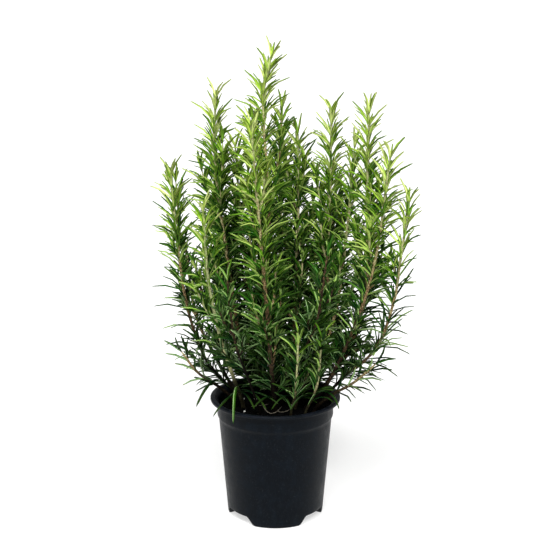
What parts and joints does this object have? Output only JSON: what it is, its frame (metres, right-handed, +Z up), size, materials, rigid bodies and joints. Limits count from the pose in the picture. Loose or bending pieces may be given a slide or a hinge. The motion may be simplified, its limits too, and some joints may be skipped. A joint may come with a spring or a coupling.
{
  "type": "potted rosemary plant",
  "caption": "Bushy rosemary plant with upright leafy stems, growing from dark soil in a round tapered nursery pot with a flat rim and an arched foot.",
  "frame": {"origin": "on the ground under the middle of the pot, which is also the middle of the plant's bounding box", "axes": "+Z up along the pot's axis, -Y towards the front as pictured, +X to the viewer's right"},
  "size_m": [0.2486, 0.1931, 0.474],
  "materials": {
    "pot_plastic": "satin",
    "potting_soil": "matte",
    "rosemary": "satin"
  },
  "bodies": {
    "root": {"pot": "pot_plastic", "soil": "potting_soil", "stem_tall_centre": "rosemary", "stem_front_centre": "rosemary", "stem_left_tall": "rosemary", "stem_left_outer": "rosemary", "stem_left_front": "rosemary", "stem_left_small": "rosemary", "stem_back_right_thin": "rosemary", "stem_right_inner": "rosemary", "stem_right_tall": "rosemary", "stem_right_middle": "rosemary", "stem_right_front": "rosemary", "stem_right_outer": "rosemary", "stem_right_low": "rosemary", "stem_front_small": "rosemary", "stem_front_right_small": "rosemary", "stem_middle_right_small": "rosemary", "stem_back_centre": "rosemary", "stem_back_right": "rosemary", "stem_back_left": "rosemary", "stem_right_back": "rosemary", "stem_left_back": "rosemary", "stem_front_left": "rosemary", "stem_front_right": "rosemary", "stem_left_low": "rosemary"}
  },
  "joints": []
}
